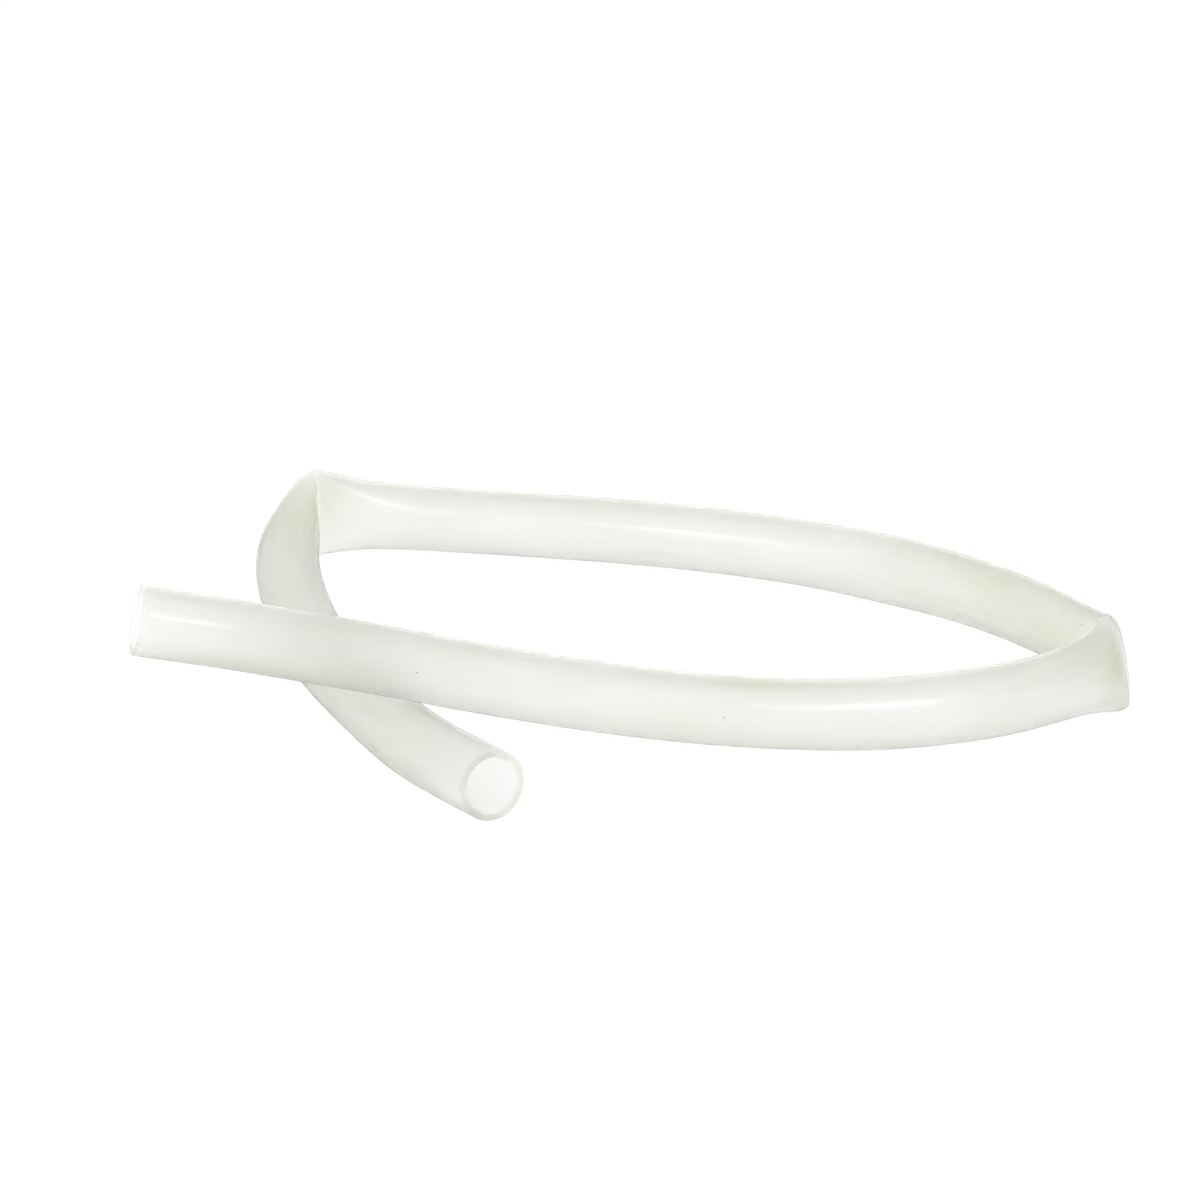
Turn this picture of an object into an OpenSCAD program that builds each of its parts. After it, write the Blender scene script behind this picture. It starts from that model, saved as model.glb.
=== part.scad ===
// Loose length of silicone tubing, lying in one open loop.
// The tube is folded shut at two places, and one leg rests across the other.
// The origin is on the table, under the middle of the loop, and the second bend is to the right.

/* [Tube] */
// Outside diameter of the tube
tube_od = 16; // [14:0.5:18]
// Thickness of the tube's wall
wall = 1.5; // [1:0.1:2.5]
// Length of the straight, cleanly cut stretch at each open end
end_len = 16; // [10:1:25]

/* [Folds] */
// Gap left between the two walls where the tube is folded flat
fold_gap = 0.9; // [0.6:0.1:2]
// Distance along the tube in which a fold opens out again, at the right-hand fold
right_fold_reach = 6.2; // [5:0.2:7]
// The same distance at the left-hand fold
left_fold_reach = 6.6; // [5:0.2:7]
// Lean of the right-hand fold from upright, in degrees
right_fold_lean = 14; // [0:1:18]
// Lean of the left-hand fold from upright, in degrees
left_fold_lean = 3; // [0:1:12]
// Depth of the dimple that the inner wall gets beside a fold
dimple = 5; // [3:0.5:6]

/* [Smoothness] */
// Number of sides of the swept stretch
sides = 28; // [20:2:28]

/* [Hidden] */
$fn = 96;

// Route of the tube's middle line: x and y in mm, then the height of the tube's
// underside above the table in tube diameters, so a thicker tube climbs higher where it crosses.
// The first three and the last three points are in line, where the straight ends join on.
ROUTE = [
    // Front leg, from the raised left end to the right-hand fold
    [-104.8, -56.5, 1.68], [-97.3, -55, 1.57], [-89.8, -53.5, 1.46], [-74, -52.5, 1.25], [-56, -54, 1.08],
    [-35, -55.7, 0.85], [-11, -56.4, 0.61], [14, -56, 0.4], [38, -53.8, 0.26], [59, -50.2, 0.2],
    [75, -44.8, 0.19], [87, -39, 0.19], [97, -32, 0.2], [105, -24.5, 0.2],
    // Right-hand fold, then the rear leg to the left-hand fold
    [112.8, -17.5, 0.21], [106.5, -8.5, 0.2], [102.5, 1, 0.2], [95, 14.5, 0.2], [82, 30.5, 0.2],
    [63, 47, 0.2], [40, 60.5, 0.2], [14, 70.8, 0.2], [-13, 77.6, 0.2], [-38, 82.3, 0.2],
    [-56, 85.3, 0.21], [-67, 87, 0.21], [-74.5, 88.3, 0.22],
    // Left-hand fold, then the last leg, under the front leg to the front end
    [-82, 90, 0.22], [-83, 82, 0.22], [-84.5, 74, 0.2], [-86, 61, 0.16], [-85, 43, 0.11],
    [-81, 21, 0.06], [-76, 0, 0.02], [-68.5, -20, 0], [-60.5, -39, 0], [-53, -56.5, 0],
    [-45, -70.5, 0.03], [-41, -77, 0.06], [-37, -83.5, 0.09]
];
RIGHT_FOLD = 14; // place of the right-hand fold in the route
LEFT_FOLD = 27;  // place of the left-hand fold in the route

// Soft swellings (minus) and flattened stretches (plus), each as place in the route,
// amount as a share of a full fold, and half length in mm
WAVES = [[4.3, -0.03, 40], [8.7, 0.05, 14], [10.2, 0.07, 16], [16.3, -0.07, 9], [19, 0.08, 17]];

FOLD_TIP = 1.2;     // length of the sharpest stretch of a fold's crease
LEAN_REACH = 14;    // distance along the tube in which a fold's lean fades out
STRETCH = 0.43;     // how much less than a flat strip the folded wall spreads sideways
BOW = 1.6;          // how far a half folded wall bows towards the outer side of its bend
FLATNESS = 4;       // how quickly a folded wall's sides turn straight
SEAT = 0.1;         // how far the sweep's two end rings sit inside the walls of the cut ends
LAP = 0.2;          // how far the cut ends reach back over the sweep

bore_r = tube_od / 2 - wall;              // radius of the open bore
mid_r = (tube_od - wall) / 2;             // radius of the wall's middle line
flat_half = (fold_gap + wall) / 2;        // half the folded tube's thickness, at the wall's middle

// Middle line as a smooth curve
function centre(i) = [ROUTE[i].x, ROUTE[i].y, (ROUTE[i].z + 0.5) * tube_od];
function blend(i, u) =
    (pow(1 - u, 3) * centre(i) + (3 * pow(u, 3) - 6 * u * u + 4) * centre(i + 1)
     + (3 * u * u - 3 * pow(u, 3) + 3 * u + 1) * centre(i + 2) + pow(u, 3) * centre(i + 3)) / 6;
function slope(i, u) =
    (-pow(1 - u, 2) * centre(i) + (3 * u * u - 4 * u) * centre(i + 1)
     + (1 + 2 * u - 3 * u * u) * centre(i + 2) + u * u * centre(i + 3)) / 2;

// Places along the curve: more rings near the folds, and few in the straight legs
LAST = len(ROUTE) - 2;
function fold_distance(t) = min(abs(t - RIGHT_FOLD), abs(t - LEFT_FOLD));
function rings_in(i) = fold_distance(i + 1.5) < 2 ? 5 : fold_distance(i + 1.5) < 3 ? 3 : 2;
PLACES = [
    for (i = [0:LAST - 2]) for (j = [0:rings_in(i) - 1]) i + 1 + j / rings_in(i),
    LAST
];
function at(t) = let (i = min(floor(t), LAST - 1) - 1) blend(i, t - 1 - i);
function along(t) = let (i = min(floor(t), LAST - 1) - 1, s = slope(i, t - 1 - i)) s / norm(s);

// Distance along the tube at each place
POINTS = [for (t = PLACES) at(t)];
function running_sum(list, n, total = 0, done = []) =
    n == len(list) ? done : running_sum(list, n + 1, total + list[n], concat(done, [total + list[n]]));
STEPS = [for (n = [0:len(POINTS) - 1]) n == 0 ? 0 : norm(POINTS[n] - POINTS[n - 1])];
TRAVEL = running_sum(STEPS, 0);
function travel_at(t) = lookup(t, [for (n = [0:len(PLACES) - 1]) [PLACES[n], TRAVEL[n]]]);

// How far the tube is folded, from 0 for round to 1 for shut
function crease(gap, reach) = exp(-(sqrt(gap * gap + FOLD_TIP * FOLD_TIP) - FOLD_TIP) / reach);
function wave(s, w) = w[1] * exp(-pow((s - travel_at(w[0])) / w[2], 2));
function sum(list, n = 0) = n == len(list) ? 0 : list[n] + sum(list, n + 1);
function waves(s) = sum([for (w = WAVES) wave(s, w)]);
function folded(s) = max(crease(s - travel_at(RIGHT_FOLD), right_fold_reach),
                         crease(s - travel_at(LEFT_FOLD), left_fold_reach));
function lean(s) = right_fold_lean * exp(-pow((s - travel_at(RIGHT_FOLD)) / LEAN_REACH, 2))
    + left_fold_lean * exp(-pow((s - travel_at(LEFT_FOLD)) / LEAN_REACH, 2));

// Section of the tube for a fold share k and a wave share w, with its surface at depth d from
// the wall's middle. x points to the outer side of the bend and y up, and the wall keeps its
// length as it flattens.
function tanh_of(v) = 1 - 2 / (exp(2 * v) + 1);
function section(k, w, d) =
    let (flat = min(1, k + w),
         half_w = mid_r - flat * (mid_r - flat_half),
         reach_up = (mid_r - half_w) * (2 - STRETCH * flat),
         turn = max(0.01, FLATNESS * flat),
         top = half_w + reach_up + wall / 2)
    [for (n = [0:sides - 1])
        let (a = 360 * (n + 0.5) / sides,
             y = (half_w + d) * sin(a) + reach_up * tanh_of(turn * sin(a)) / tanh_of(turn),
             bow = BOW * k * (1 - k) * (1 - pow(y / top, 2)),
             dent = dimple * sqrt(k) * (1 - k) * pow(max(0, -cos(a)), 2))
        [(half_w + d) * cos(a) + bow + dent, y]];

// Depth of the outer and the inner skin from the wall's middle. The end rings lie wholly
// inside the wall of the cut ends that lap over them.
function is_end(n) = n == 0 || n == len(PLACES) - 1;
function outer_depth(n) = wall / 2 - (is_end(n) ? SEAT : 0);
function inner_depth(n) = -wall / 2 + (is_end(n) ? (bore_r + SEAT) / cos(180 / sides) - bore_r : 0);

// One ring of the sweep, square to the middle line and turned by the fold's lean
function ring(n, d) =
    let (t = along(PLACES[n]),
         side = cross(t, [0, 0, 1]) / norm(cross(t, [0, 0, 1])),
         up = cross(side, t),
         r = lean(TRAVEL[n]))
    [for (p = section(folded(TRAVEL[n]), waves(TRAVEL[n]), d))
        POINTS[n] + (p.x * cos(r) - p.y * sin(r)) * side + (p.x * sin(r) + p.y * cos(r)) * up];

module swept_stretch() {
    rings = len(PLACES);
    skin = sides * rings;
    points = concat([for (n = [0:rings - 1]) each ring(n, outer_depth(n))],
                    [for (n = [0:rings - 1]) each ring(n, inner_depth(n))]);
    function vertex(layer, n, j) = layer * skin + n * sides + j % sides;
    walls = [for (layer = [0, 1]) for (n = [0:rings - 2]) for (j = [0:sides - 1])
        let (a = vertex(layer, n, j), b = vertex(layer, n, j + 1),
             c = vertex(layer, n + 1, j + 1), d = vertex(layer, n + 1, j))
        each layer == 0 ? [[a, b, c], [a, c, d]] : [[a, c, b], [a, d, c]]];
    cut_faces = [for (n = [0, rings - 1]) for (j = [0:sides - 1])
        let (a = vertex(0, n, j), b = vertex(0, n, j + 1),
             c = vertex(1, n, j + 1), d = vertex(1, n, j))
        each n == 0 ? [[a, c, b], [a, d, c]] : [[a, b, c], [a, c, d]]];
    polyhedron(points = points, faces = concat(walls, cut_faces), convexity = 12);
}

// Straight open end from a point on the middle line, along a direction
module cut_end(from, direction) {
    translate(from)
        rotate([0, acos(direction.z), atan2(direction.y, direction.x)])
            translate([0, 0, -LAP])
                difference() {
                    cylinder(d = tube_od, h = end_len + LAP);
                    translate([0, 0, -1]) cylinder(r = bore_r, h = end_len + LAP + 2);
                }
}

module silicone_tube() {
    color([0.9, 0.91, 0.87, 0.8])
        union() {
            swept_stretch();
            cut_end(at(1), -along(1));
            cut_end(at(LAST), along(LAST));
        }
}

silicone_tube();
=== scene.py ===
import math

import bpy
import numpy as np
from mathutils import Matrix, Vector


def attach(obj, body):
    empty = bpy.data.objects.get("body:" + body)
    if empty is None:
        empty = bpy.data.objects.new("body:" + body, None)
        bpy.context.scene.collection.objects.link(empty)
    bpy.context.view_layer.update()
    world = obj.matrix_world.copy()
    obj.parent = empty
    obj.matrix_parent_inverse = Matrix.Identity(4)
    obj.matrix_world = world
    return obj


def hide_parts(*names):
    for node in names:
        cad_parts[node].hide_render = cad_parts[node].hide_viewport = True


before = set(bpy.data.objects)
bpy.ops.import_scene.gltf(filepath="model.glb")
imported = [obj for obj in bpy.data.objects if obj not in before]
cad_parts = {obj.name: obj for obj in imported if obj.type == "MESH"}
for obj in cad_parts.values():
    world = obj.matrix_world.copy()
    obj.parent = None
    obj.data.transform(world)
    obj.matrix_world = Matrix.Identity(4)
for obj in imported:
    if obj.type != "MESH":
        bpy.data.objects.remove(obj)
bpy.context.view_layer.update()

MM = 0.001

# Tube sizes in mm, the same as in the part
TUBE_OD = 16.0
WALL = 1.5
END_LEN = 16.0
FOLD_GAP = 0.9
DIMPLE = 5.0

# Route of the tube's middle line: x and y in mm, then the height of the tube's underside
# above the table in tube diameters
ROUTE = [
    # Front leg, from the raised left end to the right-hand fold
    (-104.8, -56.5, 1.68), (-97.3, -55, 1.57), (-89.8, -53.5, 1.46), (-74, -52.5, 1.25),
    (-56, -54, 1.08), (-35, -55.7, 0.85), (-11, -56.4, 0.61), (14, -56, 0.4),
    (38, -53.8, 0.26), (59, -50.2, 0.2), (75, -44.8, 0.19), (87, -39, 0.19),
    (97, -32, 0.2), (105, -24.5, 0.2),
    # Right-hand fold, then the rear leg to the left-hand fold
    (112.8, -17.5, 0.21), (106.5, -8.5, 0.2), (102.5, 1, 0.2), (95, 14.5, 0.2),
    (82, 30.5, 0.2), (63, 47, 0.2), (40, 60.5, 0.2), (14, 70.8, 0.2), (-13, 77.6, 0.2),
    (-38, 82.3, 0.2), (-56, 85.3, 0.21), (-67, 87, 0.21), (-74.5, 88.3, 0.22),
    # Left-hand fold, then the last leg, under the front leg to the front end
    (-82, 90, 0.22), (-83, 82, 0.22), (-84.5, 74, 0.2), (-86, 61, 0.16), (-85, 43, 0.11),
    (-81, 21, 0.06), (-76, 0, 0.02), (-68.5, -20, 0), (-60.5, -39, 0), (-53, -56.5, 0),
    (-45, -70.5, 0.03), (-41, -77, 0.06), (-37, -83.5, 0.09),
]
RIGHT_FOLD, LEFT_FOLD = 14, 27
# Each fold as place in the route, reach in mm along the tube and lean in degrees
FOLDS = [(RIGHT_FOLD, 6.2, 14.0), (LEFT_FOLD, 6.6, 3.0)]
# Soft swellings (minus) and flattened stretches (plus): place in the route, amount, half length
WAVES = [(4.3, -0.03, 40.0), (8.7, 0.05, 14.0), (10.2, 0.07, 16.0), (16.3, -0.07, 9.0),
         (19, 0.08, 17.0)]
FOLD_TIP = 1.2     # length of the sharpest stretch of a fold's crease, mm
LEAN_REACH = 14.0  # distance along the tube in which a fold's lean fades out, mm
STRETCH = 0.43     # how much less than a flat strip the folded wall spreads sideways
BOW = 1.6          # how far a half folded wall bows towards the outer side of its bend, mm
FLATNESS = 4.0     # how quickly a folded wall's sides turn straight

# Mesh fineness: sides round the tube, ring spacing in mm in the legs and at the folds, the
# stretch in which one passes into the other, and how quickly it does
SIDES = 96
LEG_STEP = 1.8
FOLD_STEP = 0.55
FOLD_ZONE = 26.0
STEP_EASE = 1.5
SHORTEST_STEP = 0.3
RIM_ROUND = 0.18   # radius of the cut ends' edges, mm
RIM_STEPS = 4      # straight pieces in each rounded edge

# Fineness of the middle line: points in each span of the route and in each straight end, and
# half the length in mm over which its direction is taken
SPAN_POINTS = 200
END_POINTS = 40
LOOK_AHEAD = 0.05

# Olive-tinged stretches of the silicone, and painted shade in the same olive tint. Each has its
# place in the route, its angle round the tube in degrees (0 on the outer side of the loop, 90 on
# top, None all round), how far it reaches back and on along the tube in mm, its half width in
# degrees and its strength.
STAINS_AND_PAINTED_SHADE = [
    # Front leg: its underside and its top
    (2.2, -48, 24.0, 24.0, 24, 0.7),
    (5.2, -50, 30.0, 34.0, 26, 0.14),
    (7.4, 86, 19.0, 22.0, 30, 1.0),
    # Painted shade on the stretch up to the right-hand fold and in its crease
    (12.9, 70, 9.0, 7.0, 50, 0.25),
    (13.25, 12, 4.5, 4.0, 24, 1.7),
    # Rear leg: a long stretch from the right-hand fold, and a patch at the left-hand fold
    (15.6, None, 10.0, 14.0, 0, 0.25),
    (18.0, None, 40.0, 26.0, 0, 0.36),
    (21.5, 84, 50.0, 50.0, 24, 0.28),
    (26.7, 135, 9.0, 2.5, 55, 1.0),
    # Last leg, which is olive from the fold to past the crossing
    (27.7, None, 2.5, 34.0, 0, 0.64),
    (33.5, None, 30.0, 24.0, 0, 0.34),
    (36.0, None, 12.0, 12.0, 0, 0.32),
    # Painted shade on the side turned from the front, along the top of the front leg and of the
    # rear leg
    (8.0, 112, 70.0, 70.0, 16, 0.6),
    (20.5, 68, 90.0, 90.0, 16, 0.43),
]
# Faint shade round the front leg where the last leg passes under it
STAINS_AND_PAINTED_SHADE += [(3.55 + 0.18 * n, 95 - 32 * n, 5.0, 5.0, 24, 0.1) for n in range(5)]
# How far in from its mouths the bore is whitened as painted light, free of stains, in mm
MOUTH_WHITENING_REACH = 14.0
# The left end's rim is whitened all over as painted light, and the front end's rim gets painted
# shade, a little darker than the bore
LEFT_RIM_WHITENING = 1.0
FRONT_RIM_PAINTED_SHADE = 0.7
# Specks of dust on the skin, as place in the route and angle round the tube in degrees
SPECKS = [(4.29, 12), (7.16, 8), (8.49, -42), (19.99, 88), (14.92, 128), (25.09, 92),
          (20.87, 232)]
SPECK_RADIUS = 0.14

# Silicone: what its surface lets by where it is clear, and where it is stained and where shade is
# painted on it (one colour for both), and what its wall lets by in a metre at density 1
CLEAR = (0.977, 0.975, 0.968)
STAIN_AND_SHADE_COLOUR = (0.876, 0.891, 0.803)
ABSORB = (0.8, 0.81, 0.755)
DENSITY = 52.0
ROUGH = 0.8
IOR = 1.2
COAT = 0.35
COAT_ROUGH = 0.2
COAT_IOR = 1.41
DUST = (0.08, 0.07, 0.05)
# Unevenness in it: squeeze along the tube, scale, detail and strength of the fine streaks, of
# the soft clouds and of the mottling inside the stains, and the tone of the whole
STREAKS = (0.08, 600.0, 3.0, 1.5)
CLOUDS = (0.6, 70.0, 2.0, 1.0)
MOTTLE = (0.4, 300.0, 4.0, 2.5)
TONE = 0.045
# How much of the unevenness shows as relief on the skin, and how deep that is in mm
RELIEF = 0.5
RELIEF_DEPTH = 0.025

# Camera: what it looks at and how far off it is in mm, its tilt in degrees, its lens, and the
# nearest and the farthest that it sees in metres
TARGET = (-9.0, 56.0, 0.0)
DISTANCE = 1275.0
TILT = 20.0
LENS = 154.95
SENSOR = 36.0
CLIP = (0.05, 20.0)

# Light: strength of the sky at the horizon and from SKY_HEIGHT upwards, and what is added in
# front and behind
SKY_SIDE = 0.77
SKY_TOP = 0.5
SKY_HEIGHT = 0.8
FRONT = 0.12
BEHIND = -0.1
# Floor: half its side in metres, its white, and its own glow with the share that this has in
# what each kind of ray sees, the rest of which is lit white
FLOOR_HALF = 6.0
FLOOR_WHITE = 0.93
GLOW = 1.03
GLOW_SHARES = [("Is Camera Ray", 0.93), ("Is Glossy Ray", 0.5), ("Is Transmission Ray", 1.0)]
# Soft boxes: name, place in metres and power in watts, and the size of each in metres
LAMPS = [
    ("softbox_right", (0.68, -0.97, 0.86), 7.0),
    ("softbox_left", (-0.74, -0.79, 0.86), 5.0),
]
LAMP_SIZE = (0.35, 0.25)


def camera():
    """Camera at the photo's angle: looking down a little, from far off, with no shift."""
    target = Vector(TARGET) * MM
    tilt = math.radians(TILT)
    data = bpy.data.cameras.new("photo_camera")
    data.sensor_width = SENSOR
    data.lens = LENS
    data.clip_start, data.clip_end = CLIP
    cam = bpy.data.objects.new("photo_camera", data)
    bpy.context.scene.collection.objects.link(cam)
    cam.location = target + DISTANCE * MM * Vector((0.0, -math.cos(tilt), math.sin(tilt)))
    cam.rotation_euler = (target - cam.location).to_track_quat("-Z", "Y").to_euler()
    bpy.context.scene.camera = cam


def middle_line():
    """Fine points of the middle line with their place in the route, ends included."""
    ctrl = np.array([(x, y, (lift + 0.5) * TUBE_OD) for x, y, lift in ROUTE])
    points, places = [], []
    for i in range(len(ctrl) - 3):
        u = np.arange(SPAN_POINTS)[:, None] / SPAN_POINTS
        weights = np.hstack([(1 - u) ** 3, 3 * u**3 - 6 * u**2 + 4,
                             -3 * u**3 + 3 * u**2 + 3 * u + 1, u**3]) / 6
        points.append(weights @ ctrl[i:i + 4])
        places.append(i + 1 + u[:, 0])
    points = np.vstack(points + [ctrl[-2:-1]])
    places = np.append(np.hstack(places), len(ctrl) - 2)
    first = points[0] - points[1]
    last = points[-1] - points[-2]
    first /= np.linalg.norm(first)
    last /= np.linalg.norm(last)
    reach = np.linspace(END_LEN, 0, END_POINTS, endpoint=False)[:, None]
    points = np.vstack([points[0] + first * reach, points, points[-1] + last * reach[::-1]])
    places = np.hstack([np.full(END_POINTS, places[0]), places, np.full(END_POINTS, places[-1])])
    travel = np.append(0, np.cumsum(np.linalg.norm(np.diff(points, axis=0), axis=1)))
    return points, places, travel


def stations(travel, fold_spots):
    """Distances along the tube for its rings: close together at the folds."""
    rings = [0.0]
    s = 0.0
    while s < travel[-1]:
        gap = min(abs(s - spot) for spot in fold_spots)
        share = min(1.0, max(0.0, gap / FOLD_ZONE))
        s += FOLD_STEP + (LEG_STEP - FOLD_STEP) * share**STEP_EASE
        rings.append(min(s, travel[-1]))
    if rings[-1] - rings[-2] < SHORTEST_STEP:
        rings.pop(-2)
    return np.array(rings)


def section(k, w, depth):
    """The tube's section for fold share k and wave share w, depth mm out from the wall's middle."""
    mid_r = (TUBE_OD - WALL) / 2
    flat_half = (FOLD_GAP + WALL) / 2
    flat = min(1.0, k + w)
    half_w = mid_r - flat * (mid_r - flat_half)
    reach_up = (mid_r - half_w) * (2 - STRETCH * flat)
    turn = max(0.01, FLATNESS * flat)
    top = half_w + reach_up + WALL / 2
    a = 2 * np.pi * (np.arange(SIDES) + 0.5) / SIDES
    y = (half_w + depth) * np.sin(a) + reach_up * np.tanh(turn * np.sin(a)) / np.tanh(turn)
    bow = BOW * k * (1 - k) * (1 - (y / top) ** 2)
    dent = DIMPLE * np.sqrt(k) * (1 - k) * np.maximum(0, -np.cos(a)) ** 2
    return (half_w + depth) * np.cos(a) + bow + dent, y


def tube_mesh():
    """The tube as one closed skin: out along the wall, over the rim, back down the bore."""
    points, places, travel = middle_line()

    def travel_at(place):
        inner = slice(END_POINTS - 1, len(places) - END_POINTS + 1)
        return np.interp(place, places[inner], travel[inner])

    spots = [travel_at(f[0]) for f in FOLDS]
    rings = stations(travel, spots)

    def on_line(distances):
        return np.stack([np.interp(distances, travel, points[:, i]) for i in range(3)], 1)

    mid = on_line(rings)
    along = on_line(rings + LOOK_AHEAD) - on_line(rings - LOOK_AHEAD)
    along /= np.linalg.norm(along, axis=1)[:, None]
    side = np.cross(along, [0, 0, 1])
    side /= np.linalg.norm(side, axis=1)[:, None]
    up = np.cross(side, along)

    shut = np.zeros(len(rings))
    lean = np.zeros(len(rings))
    for (place, reach, degrees), spot in zip(FOLDS, spots):
        gap = rings - spot
        shut = np.maximum(shut, np.exp(-(np.sqrt(gap**2 + FOLD_TIP**2) - FOLD_TIP) / reach))
        lean += math.radians(degrees) * np.exp(-(gap / LEAN_REACH) ** 2)
    wave = sum(amount * np.exp(-((rings - travel_at(place)) / half) ** 2)
               for place, amount, half in WAVES)

    def ring(n, depth, back=0.0):
        x, y = section(shut[n], wave[n], depth)
        cos, sin = math.cos(lean[n]), math.sin(lean[n])
        return (mid[n] + along[n] * back + (x * cos - y * sin)[:, None] * side[n]
                + (x * sin + y * cos)[:, None] * up[n])

    last = len(rings) - 1
    quarter = [math.pi / 2 * j / RIM_STEPS for j in range(RIM_STEPS + 1)]
    half = WALL / 2
    loops, clear, loop_rings = [], [], []
    angles = 360 * (np.arange(SIDES) + 0.5) / SIDES

    # Stains and painted shade round ring n, as one strength at each side
    def stain_and_shade(n):
        total = np.zeros(SIDES)
        for place, angle, back, on, spread, amount in STAINS_AND_PAINTED_SHADE:
            gap = rings[n] - travel_at(place)
            share = amount * math.exp(-(gap / (back if gap < 0 else on)) ** 2)
            if angle is None:
                total += share
            else:
                off = (angles - angle + 180) % 360 - 180
                total += share * np.exp(-(off / spread) ** 2)
        return total

    stains_and_shade = [stain_and_shade(n) for n in range(len(rings))]
    # Painted shade on the front end's rim
    stains_and_shade[last] += FRONT_RIM_PAINTED_SHADE
    # Painted light: how much the bore is whitened towards each mouth
    bore_whitening = [math.exp(-(min(s, travel[-1] - s) / MOUTH_WHITENING_REACH) ** 2) for s in rings]

    def add(n, depth, whiteness, back=0.0):
        loops.append(ring(n, depth, back))
        clear.append(np.full(SIDES, whiteness))
        loop_rings.append(n)

    def add_edge(n, outward, corner_turns, whiteness, back):
        for q in corner_turns:
            depth = outward * (half - RIM_ROUND * (1 - math.cos(q)))
            add(n, depth, whiteness, back * RIM_ROUND * (1 - math.sin(q)))

    for n in range(1, last):
        add(n, half, 0.0)
    add_edge(last, 1, quarter, 0.0, -1)
    add_edge(last, -1, quarter[::-1], 0.0, -1)
    for n in range(last - 1, 0, -1):
        add(n, -half, bore_whitening[n])
    # The left end's rim, whitened all over as painted light
    add_edge(0, -1, quarter, LEFT_RIM_WHITENING, 1)
    add_edge(0, 1, quarter[::-1], LEFT_RIM_WHITENING, 1)

    verts = np.vstack(loops) * MM
    count = len(loops)
    faces = []
    for n in range(count):
        m = (n + 1) % count
        for j in range(SIDES):
            i = (j + 1) % SIDES
            faces.append((n * SIDES + j, m * SIDES + j, m * SIDES + i, n * SIDES + i))
    mesh = bpy.data.meshes.new("silicone_tubing")
    mesh.from_pydata(verts.tolist(), [], faces)
    mesh.update()
    for poly in mesh.polygons:
        poly.use_smooth = True
    # What the material reads: how much stain and painted shade each point has, how much it is
    # whitened as painted light, and where it lies on the unrolled tube
    tone = mesh.attributes.new("stain_and_shade", "FLOAT", "POINT")
    tone.data.foreach_set("value", np.hstack([stains_and_shade[n] for n in loop_rings]).astype(np.float32))
    mouth_whitening = mesh.attributes.new("mouth_whitening", "FLOAT", "POINT")
    mouth_whitening.data.foreach_set("value", np.hstack(clear).astype(np.float32))
    flow = mesh.attributes.new("flow", "FLOAT_VECTOR", "POINT")
    round_the_tube = np.stack([np.cos(np.radians(angles)), np.sin(np.radians(angles))], 1)
    lie = [np.hstack([np.full((SIDES, 1), rings[n]), round_the_tube * TUBE_OD / 2])
           for n in loop_rings]
    flow.data.foreach_set("vector", (np.vstack(lie) * MM).astype(np.float32).ravel())
    tube = bpy.data.objects.new("silicone_tubing", mesh)
    bpy.context.scene.collection.objects.link(tube)

    def on_skin(place, angle):
        n = int(np.argmin(np.abs(rings - travel_at(place))))
        return ring(n, half)[int(np.argmin(np.abs((angles - angle + 180) % 360 - 180)))] * MM

    specks = [on_skin(*speck) for speck in SPECKS]
    return tube, mid * MM, specks


def maths(tree, operation, first, second):
    """Output of a Math node with two inputs, each a number or another node's output."""
    node = tree.nodes.new("ShaderNodeMath")
    node.operation = operation
    for socket, value in zip(node.inputs, (first, second)):
        if isinstance(value, float):
            socket.default_value = value
        else:
            tree.links.new(value, socket)
    return node.outputs[0]


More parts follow.
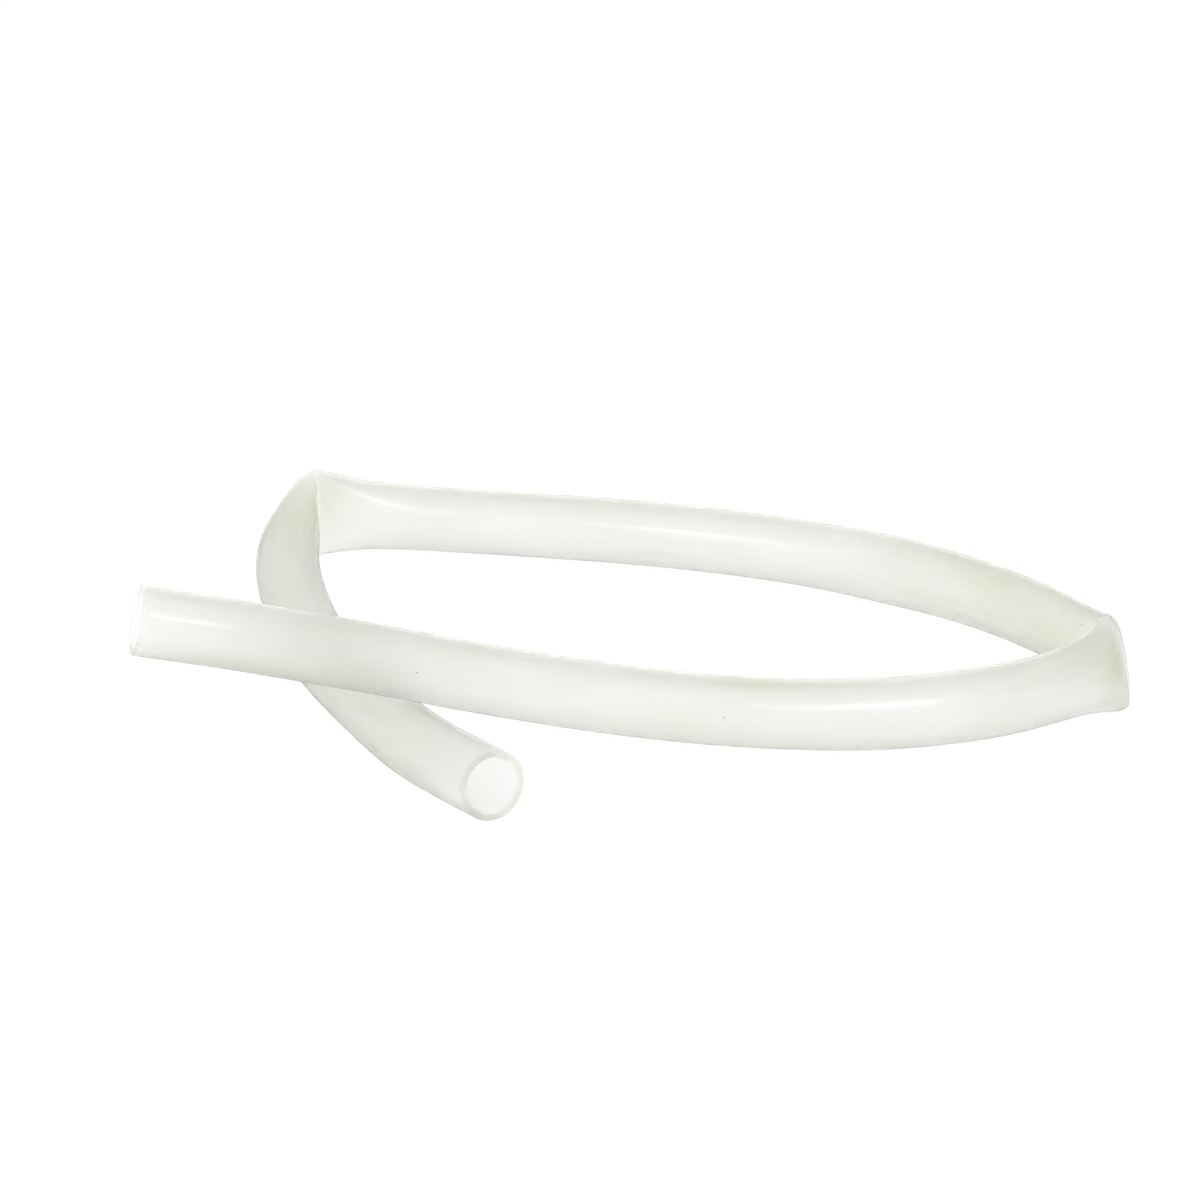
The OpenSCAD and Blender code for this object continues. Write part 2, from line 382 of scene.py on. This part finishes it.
def silicone(specks):
    """Milky silicone rubber: rough glass with a soft sheen on its skin, faint olive stains and
    painted shade in the same tint, a bore whitened near its mouths as painted light, and specks of
    dust.
    """
    mat = bpy.data.materials.new("silicone")
    mat.use_nodes = True
    tree = mat.node_tree
    nodes, links = tree.nodes, tree.links
    nodes.clear()

    def noise(along_tube, scale, detail, strength):
        squeeze = nodes.new("ShaderNodeVectorMath")
        squeeze.operation = "MULTIPLY"
        squeeze.inputs[1].default_value = (along_tube, 1, 1)
        texture = nodes.new("ShaderNodeTexNoise")
        texture.inputs["Scale"].default_value = scale
        texture.inputs["Detail"].default_value = detail
        links.new(flow.outputs["Vector"], squeeze.inputs[0])
        links.new(squeeze.outputs[0], texture.inputs["Vector"])
        spread = maths(tree, "SUBTRACT", texture.outputs["Fac"], 0.5)
        return maths(tree, "MULTIPLY", spread, strength)

    flow = nodes.new("ShaderNodeAttribute")
    flow.attribute_name = "flow"
    stain_and_shade = nodes.new("ShaderNodeAttribute")
    stain_and_shade.attribute_name = "stain_and_shade"
    streaks = noise(*STREAKS)
    clouds = noise(*CLOUDS)
    mottle = noise(*MOTTLE)
    # Stains and painted shade, mottled, with the streaks and clouds, set the tint
    patchy = maths(tree, "MULTIPLY", stain_and_shade.outputs["Fac"], maths(tree, "ADD", mottle, 1.0))
    tone = maths(tree, "ADD", patchy, maths(tree, "ADD", streaks, clouds))
    tint = nodes.new("ShaderNodeMix")
    tint.data_type = "RGBA"
    tint.clamp_factor = True
    tint.inputs["A"].default_value = (*CLEAR, 1)
    tint.inputs["B"].default_value = (*STAIN_AND_SHADE_COLOUR, 1)
    links.new(maths(tree, "ADD", tone, TONE), tint.inputs["Factor"])
    # Painted light: the bore is whitened towards its mouths, and the left end's rim all over
    mouth_whitening = nodes.new("ShaderNodeAttribute")
    mouth_whitening.attribute_name = "mouth_whitening"
    whitened_bore = nodes.new("ShaderNodeMix")
    whitened_bore.data_type = "RGBA"
    whitened_bore.inputs["B"].default_value = (1, 1, 1, 1)
    links.new(mouth_whitening.outputs["Fac"], whitened_bore.inputs["Factor"])
    links.new(tint.outputs["Result"], whitened_bore.inputs["A"])

    place = nodes.new("ShaderNodeTexCoord")
    dusty = 0.0
    for speck in specks:
        apart = nodes.new("ShaderNodeVectorMath")
        apart.operation = "DISTANCE"
        apart.inputs[1].default_value = speck.tolist()
        links.new(place.outputs["Object"], apart.inputs[0])
        dot = maths(tree, "LESS_THAN", apart.outputs["Value"], SPECK_RADIUS * MM)
        dusty = maths(tree, "ADD", dot, dusty)

    bsdf = nodes.new("ShaderNodeBsdfPrincipled")
    bsdf.inputs["Roughness"].default_value = ROUGH
    bsdf.inputs["IOR"].default_value = IOR
    bsdf.inputs["Transmission Weight"].default_value = 1.0
    bsdf.inputs["Coat Weight"].default_value = COAT
    bsdf.inputs["Coat Roughness"].default_value = COAT_ROUGH
    bsdf.inputs["Coat IOR"].default_value = COAT_IOR
    links.new(whitened_bore.outputs["Result"], bsdf.inputs["Base Color"])
    relief = nodes.new("ShaderNodeBump")
    relief.inputs["Strength"].default_value = RELIEF
    relief.inputs["Distance"].default_value = RELIEF_DEPTH * MM
    links.new(maths(tree, "ADD", streaks, mottle), relief.inputs["Height"])
    for socket in ("Normal", "Coat Normal"):
        links.new(relief.outputs["Normal"], bsdf.inputs[socket])
    dust = nodes.new("ShaderNodeBsdfDiffuse")
    dust.inputs["Color"].default_value = (*DUST, 1)
    skin = nodes.new("ShaderNodeMixShader")
    links.new(dusty, skin.inputs["Fac"])
    links.new(bsdf.outputs[0], skin.inputs[1])
    links.new(dust.outputs[0], skin.inputs[2])
    absorb = nodes.new("ShaderNodeVolumeAbsorption")
    absorb.inputs["Color"].default_value = (*ABSORB, 1)
    absorb.inputs["Density"].default_value = DENSITY
    out = nodes.new("ShaderNodeOutputMaterial")
    links.new(skin.outputs[0], out.inputs["Surface"])
    links.new(absorb.outputs[0], out.inputs["Volume"])
    return mat


def stage():
    """Plain white floor, white to the camera, which keeps a little of the object's shadow."""
    mesh = bpy.data.meshes.new("floor")
    corners = [(-1, -1), (1, -1), (1, 1), (-1, 1)]
    mesh.from_pydata([(x * FLOOR_HALF, y * FLOOR_HALF, 0) for x, y in corners], [], [(0, 1, 2, 3)])
    floor = bpy.data.objects.new("floor", mesh)
    bpy.context.scene.collection.objects.link(floor)
    mat = bpy.data.materials.new("floor_white")
    mat.use_nodes = True
    tree = mat.node_tree
    nodes, links = tree.nodes, tree.links
    nodes.clear()
    out = nodes.new("ShaderNodeOutputMaterial")
    diffuse = nodes.new("ShaderNodeBsdfDiffuse")
    diffuse.inputs["Color"].default_value = (FLOOR_WHITE, FLOOR_WHITE, FLOOR_WHITE, 1)
    glow = nodes.new("ShaderNodeEmission")
    glow.inputs["Strength"].default_value = GLOW
    path = nodes.new("ShaderNodeLightPath")
    mix = nodes.new("ShaderNodeMixShader")
    share = 0.0
    for ray, part in GLOW_SHARES:
        share = maths(tree, "MAXIMUM", maths(tree, "MULTIPLY", path.outputs[ray], part), share)
    links.new(share, mix.inputs["Fac"])
    links.new(diffuse.outputs[0], mix.inputs[1])
    links.new(glow.outputs[0], mix.inputs[2])
    links.new(mix.outputs[0], out.inputs["Surface"])
    mesh.materials.append(mat)


def lights():
    """Pale sky, brighter low down and in front, and two soft boxes for the long highlights."""
    scene = bpy.context.scene
    world = bpy.data.worlds.new("studio")
    scene.world = world
    world.use_nodes = True
    nodes, links = world.node_tree.nodes, world.node_tree.links
    nodes.clear()
    out = nodes.new("ShaderNodeOutputWorld")
    back = nodes.new("ShaderNodeBackground")
    back.inputs["Color"].default_value = (1, 1, 1, 1)
    toward = nodes.new("ShaderNodeTexCoord")
    parts = nodes.new("ShaderNodeSeparateXYZ")
    above = nodes.new("ShaderNodeMapRange")
    above.inputs["From Max"].default_value = SKY_HEIGHT
    above.inputs["To Min"].default_value = SKY_SIDE
    above.inputs["To Max"].default_value = SKY_TOP
    ahead = nodes.new("ShaderNodeMapRange")
    ahead.inputs["From Min"].default_value = 1.0
    ahead.inputs["From Max"].default_value = -1.0
    ahead.inputs["To Min"].default_value = BEHIND
    ahead.inputs["To Max"].default_value = FRONT
    links.new(toward.outputs["Generated"], parts.inputs[0])
    links.new(parts.outputs["Z"], above.inputs["Value"])
    links.new(parts.outputs["Y"], ahead.inputs["Value"])
    level = maths(world.node_tree, "ADD", above.outputs[0], ahead.outputs[0])
    links.new(level, back.inputs["Strength"])
    links.new(back.outputs[0], out.inputs["Surface"])
    for name, spot, energy in LAMPS:
        lamp = bpy.data.lights.new(name, "AREA")
        lamp.shape = "RECTANGLE"
        lamp.size, lamp.size_y = LAMP_SIZE
        lamp.energy = energy
        soft = bpy.data.objects.new(name, lamp)
        soft.location = spot
        aim = Vector((0, 0, 0)) - soft.location
        soft.rotation_euler = aim.to_track_quat("-Z", "Y").to_euler()
        scene.collection.objects.link(soft)


bpy.context.scene.view_settings.view_transform = "Standard"
camera()
tube, path, specks = tube_mesh()
tube.data.materials.append(silicone(specks))
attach(tube, "root")
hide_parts("silicone_tube")
stage()
lights()
